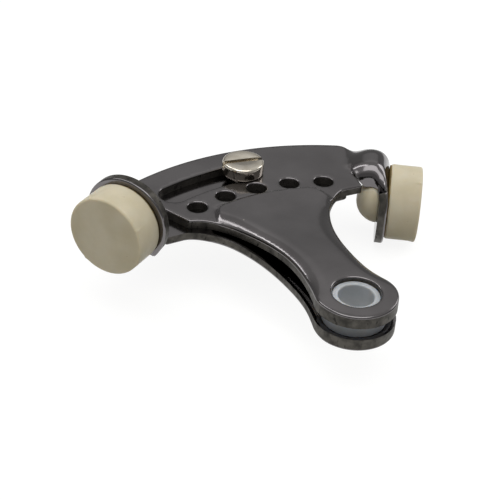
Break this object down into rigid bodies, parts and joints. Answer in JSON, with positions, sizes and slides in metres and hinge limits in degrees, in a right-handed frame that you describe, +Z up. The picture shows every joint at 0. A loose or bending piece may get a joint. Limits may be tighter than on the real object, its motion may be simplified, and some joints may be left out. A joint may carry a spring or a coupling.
{
  "type": "hinge pin door stop",
  "caption": "Adjustable door stop for a hinge pin: paired slotted steel plates pivot on a nylon bush, a screw clamps their angle, and rubber bumpers meet the door and the trim.",
  "frame": {"origin": "on the axis of the hinge pin's bore, in the plane where the two plates lie on each other", "axes": "+Z up along the hinge pin, +Y from the pin to the middle of the slotted sector, +X towards the upper plate's bumper"},
  "size_m": [0.0963, 0.0781, 0.0332],
  "materials": {
    "black_nickel": "polished dark nickel plate",
    "nickel": "bright nickel plate",
    "nylon": "natural white, satin",
    "cream_rubber": "matte moulded"
  },
  "bodies": {
    "upper": {"upper_plate": "black_nickel", "right_bumper": "cream_rubber"},
    "lower": {"lower_plate": "black_nickel", "left_bumper": "cream_rubber"},
    "bush": {"hinge_bush": "nylon"},
    "nut": {"clamp_nut": "nickel"},
    "screw": {"clamp_screw": "nickel"}
  },
  "joints": [
    {"name": "angle_set", "type": "hinge", "parent": "upper", "child": "lower", "pos_m": [0, 0, 0], "axis": [0, 0, 1], "range_deg": [0, 36.5]},
    {"name": "clamp_ride", "type": "hinge", "parent": "upper", "child": "nut", "pos_m": [0, 0, 0], "axis": [0, 0, 1], "range_deg": [0, 20]},
    {"name": "screw_turn", "type": "hinge", "parent": "nut", "child": "screw", "pos_m": [0, 0.0582, 0], "axis": [0, 0, 1], "continuous": true},
    {"name": "bush_turn", "type": "hinge", "parent": "upper", "child": "bush", "pos_m": [0, 0, 0], "axis": [0, 0, 1], "continuous": true}
  ],
  "couplings": [
    {"joint": "clamp_ride", "follows": "angle_set", "ratio": 0.54795}
  ]
}
